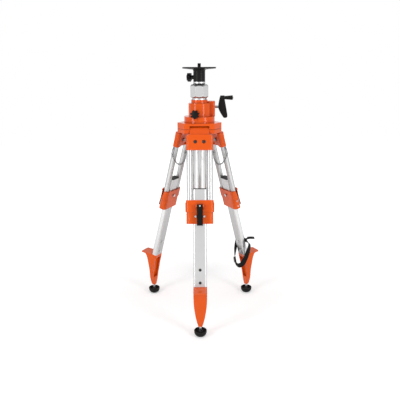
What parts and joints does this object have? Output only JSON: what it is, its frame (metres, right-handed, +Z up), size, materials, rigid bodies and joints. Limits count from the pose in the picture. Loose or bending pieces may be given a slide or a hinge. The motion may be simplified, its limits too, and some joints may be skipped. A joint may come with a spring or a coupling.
{
  "type": "elevating survey tripod",
  "caption": "Heavy-duty elevating tripod: cranked rack column with a round instrument platform, folding telescopic legs with lever clamps, pedal feet and check chains.",
  "frame": {"origin": "on the floor, on the axis of the column", "axes": "+Z up the column, -Y towards the front leg, +X towards the crank"},
  "size_m": [0.6162, 0.5361, 1.1834],
  "materials": {
    "orange_paint": "gloss orange paint on cast aluminium",
    "aluminium": "satin anodised aluminium",
    "steel": "bright zinc-plated steel",
    "black_metal": "satin black coated aluminium",
    "black_plastic": "matt black moulded plastic",
    "rubber": "black moulded rubber",
    "webbing": "black woven webbing"
  },
  "bodies": {
    "head": {"head_upper": "orange_paint", "head_lower": "orange_paint", "hinge_pins": "steel", "gear_housing": "orange_paint", "gear_cover": "orange_paint", "housing_screws": "steel", "column_bushes": "black_plastic"},
    "column": {"column_tube": "aluminium", "column_rack": "steel", "column_head": "aluminium", "column_caps": "black_plastic"},
    "platform": {"platform": "black_metal", "instrument_bolt": "black_metal"},
    "platform_knob": {"platform_knob": "black_plastic", "platform_knob_stud": "steel"},
    "column_knob": {"column_knob": "black_plastic", "column_knob_stud": "steel"},
    "crank": {"crank_shaft": "steel", "pinion": "steel", "crank_arm": "black_plastic", "grip_spindle": "steel"},
    "crank_grip": {"crank_grip": "black_plastic"},
    "leg_front": {"leg_bracket_front": "orange_paint", "leg_tubes_front": "aluminium", "leg_clamp_front": "orange_paint", "leg_bolts_front": "steel", "chain_front": "steel"},
    "clamp_lever_front": {"clamp_lever_front": "black_plastic"},
    "lower_leg_front": {"lower_leg_front": "aluminium", "lower_leg_cap_front": "black_plastic", "foot_casting_front": "orange_paint", "foot_bolts_front": "steel", "foot_spike_front": "steel"},
    "foot_pad_front": {"foot_pad_front": "rubber"},
    "leg_right": {"leg_bracket_right": "orange_paint", "leg_tubes_right": "aluminium", "leg_clamp_right": "orange_paint", "leg_bolts_right": "steel", "chain_right": "steel"},
    "clamp_lever_right": {"clamp_lever_right": "black_plastic"},
    "lower_leg_right": {"lower_leg_right": "aluminium", "lower_leg_cap_right": "black_plastic", "foot_casting_right": "orange_paint", "foot_bolts_right": "steel", "foot_spike_right": "steel", "strap": "webbing", "strap_buckle": "black_plastic"},
    "foot_pad_right": {"foot_pad_right": "rubber"},
    "leg_left": {"leg_bracket_left": "orange_paint", "leg_tubes_left": "aluminium", "leg_clamp_left": "orange_paint", "leg_bolts_left": "steel", "chain_left": "steel"},
    "clamp_lever_left": {"clamp_lever_left": "black_plastic"},
    "lower_leg_left": {"lower_leg_left": "aluminium", "lower_leg_cap_left": "black_plastic", "foot_casting_left": "orange_paint", "foot_bolts_left": "steel", "foot_spike_left": "steel"},
    "foot_pad_left": {"foot_pad_left": "rubber"}
  },
  "joints": [
    {"name": "column_lift", "type": "slide", "parent": "head", "child": "column", "axis": [0, 0, 1], "range_m": [-0.006, 0.3]},
    {"name": "platform_swivel", "type": "hinge", "parent": "column", "child": "platform", "pos_m": [0, 0, 1.10437], "axis": [0, 0, 1], "continuous": true},
    {"name": "platform_knob_turn", "type": "hinge", "parent": "platform", "child": "platform_knob", "pos_m": [-0.02819, 0.01026, 1.12337], "axis": [-0.9397, 0.342, 0], "range_deg": [0, 360]},
    {"name": "column_knob_turn", "type": "hinge", "parent": "head", "child": "column_knob", "pos_m": [-0.01553, -0.05796, 0.96657], "axis": [-0.2588, -0.9659, 0], "range_deg": [0, 360]},
    {"name": "crank_turn", "type": "hinge", "parent": "head", "child": "crank", "pos_m": [0, 0.04184, 0.99057], "axis": [-1, 0, 0], "range_deg": [-30, 1440]},
    {"name": "crank_grip_spin", "type": "hinge", "parent": "crank", "child": "crank_grip", "pos_m": [0.13, 0.04184, 1.03157], "axis": [1, 0, 0], "continuous": true},
    {"name": "leg_front_fold", "type": "hinge", "parent": "head", "child": "leg_front", "pos_m": [0, -0.058, 0.89997], "axis": [1, 0, 0], "range_deg": [0, 15], "deforming": ["chain_front"]},
    {"name": "lower_leg_front_slide", "type": "slide", "parent": "leg_front", "child": "lower_leg_front", "axis": [0, -0.2656, -0.9641], "range_m": [-0.155, 0.045]},
    {"name": "clamp_lever_front_turn", "type": "hinge", "parent": "leg_front", "child": "clamp_lever_front", "pos_m": [0, -0.20062, 0.58556], "axis": [-1, 0, 0], "range_deg": [0, 95]},
    {"name": "foot_pad_front_spin", "type": "hinge", "parent": "lower_leg_front", "child": "foot_pad_front", "pos_m": [0, -0.28605, 0.02], "axis": [0, 0, 1], "continuous": true},
    {"name": "leg_right_fold", "type": "hinge", "parent": "head", "child": "leg_right", "pos_m": [0.05023, 0.029, 0.89997], "axis": [-0.5, 0.866, 0], "range_deg": [0, 15], "deforming": ["chain_right"]},
    {"name": "lower_leg_right_slide", "type": "slide", "parent": "leg_right", "child": "lower_leg_right", "axis": [0.23, 0.1328, -0.9641], "range_m": [-0.155, 0.045]},
    {"name": "clamp_lever_right_turn", "type": "hinge", "parent": "leg_right", "child": "clamp_lever_right", "pos_m": [0.17374, 0.10031, 0.58556], "axis": [0.5, -0.866, 0], "range_deg": [0, 95]},
    {"name": "foot_pad_right_spin", "type": "hinge", "parent": "lower_leg_right", "child": "foot_pad_right", "pos_m": [0.24773, 0.14303, 0.02], "axis": [0, 0, 1], "continuous": true},
    {"name": "leg_left_fold", "type": "hinge", "parent": "head", "child": "leg_left", "pos_m": [-0.05023, 0.029, 0.89997], "axis": [-0.5, -0.866, 0], "range_deg": [0, 15], "deforming": ["chain_left"]},
    {"name": "lower_leg_left_slide", "type": "slide", "parent": "leg_left", "child": "lower_leg_left", "axis": [-0.23, 0.1328, -0.9641], "range_m": [-0.155, 0.045]},
    {"name": "clamp_lever_left_turn", "type": "hinge", "parent": "leg_left", "child": "clamp_lever_left", "pos_m": [-0.17374, 0.10031, 0.58556], "axis": [0.5, 0.866, 0], "range_deg": [0, 95]},
    {"name": "foot_pad_left_spin", "type": "hinge", "parent": "lower_leg_left", "child": "foot_pad_left", "pos_m": [-0.24773, 0.14303, 0.02], "axis": [0, 0, 1], "continuous": true}
  ],
  "couplings": [
    {"joint": "crank_turn", "follows": "column_lift", "rad_per_m": 83.333}
  ]
}
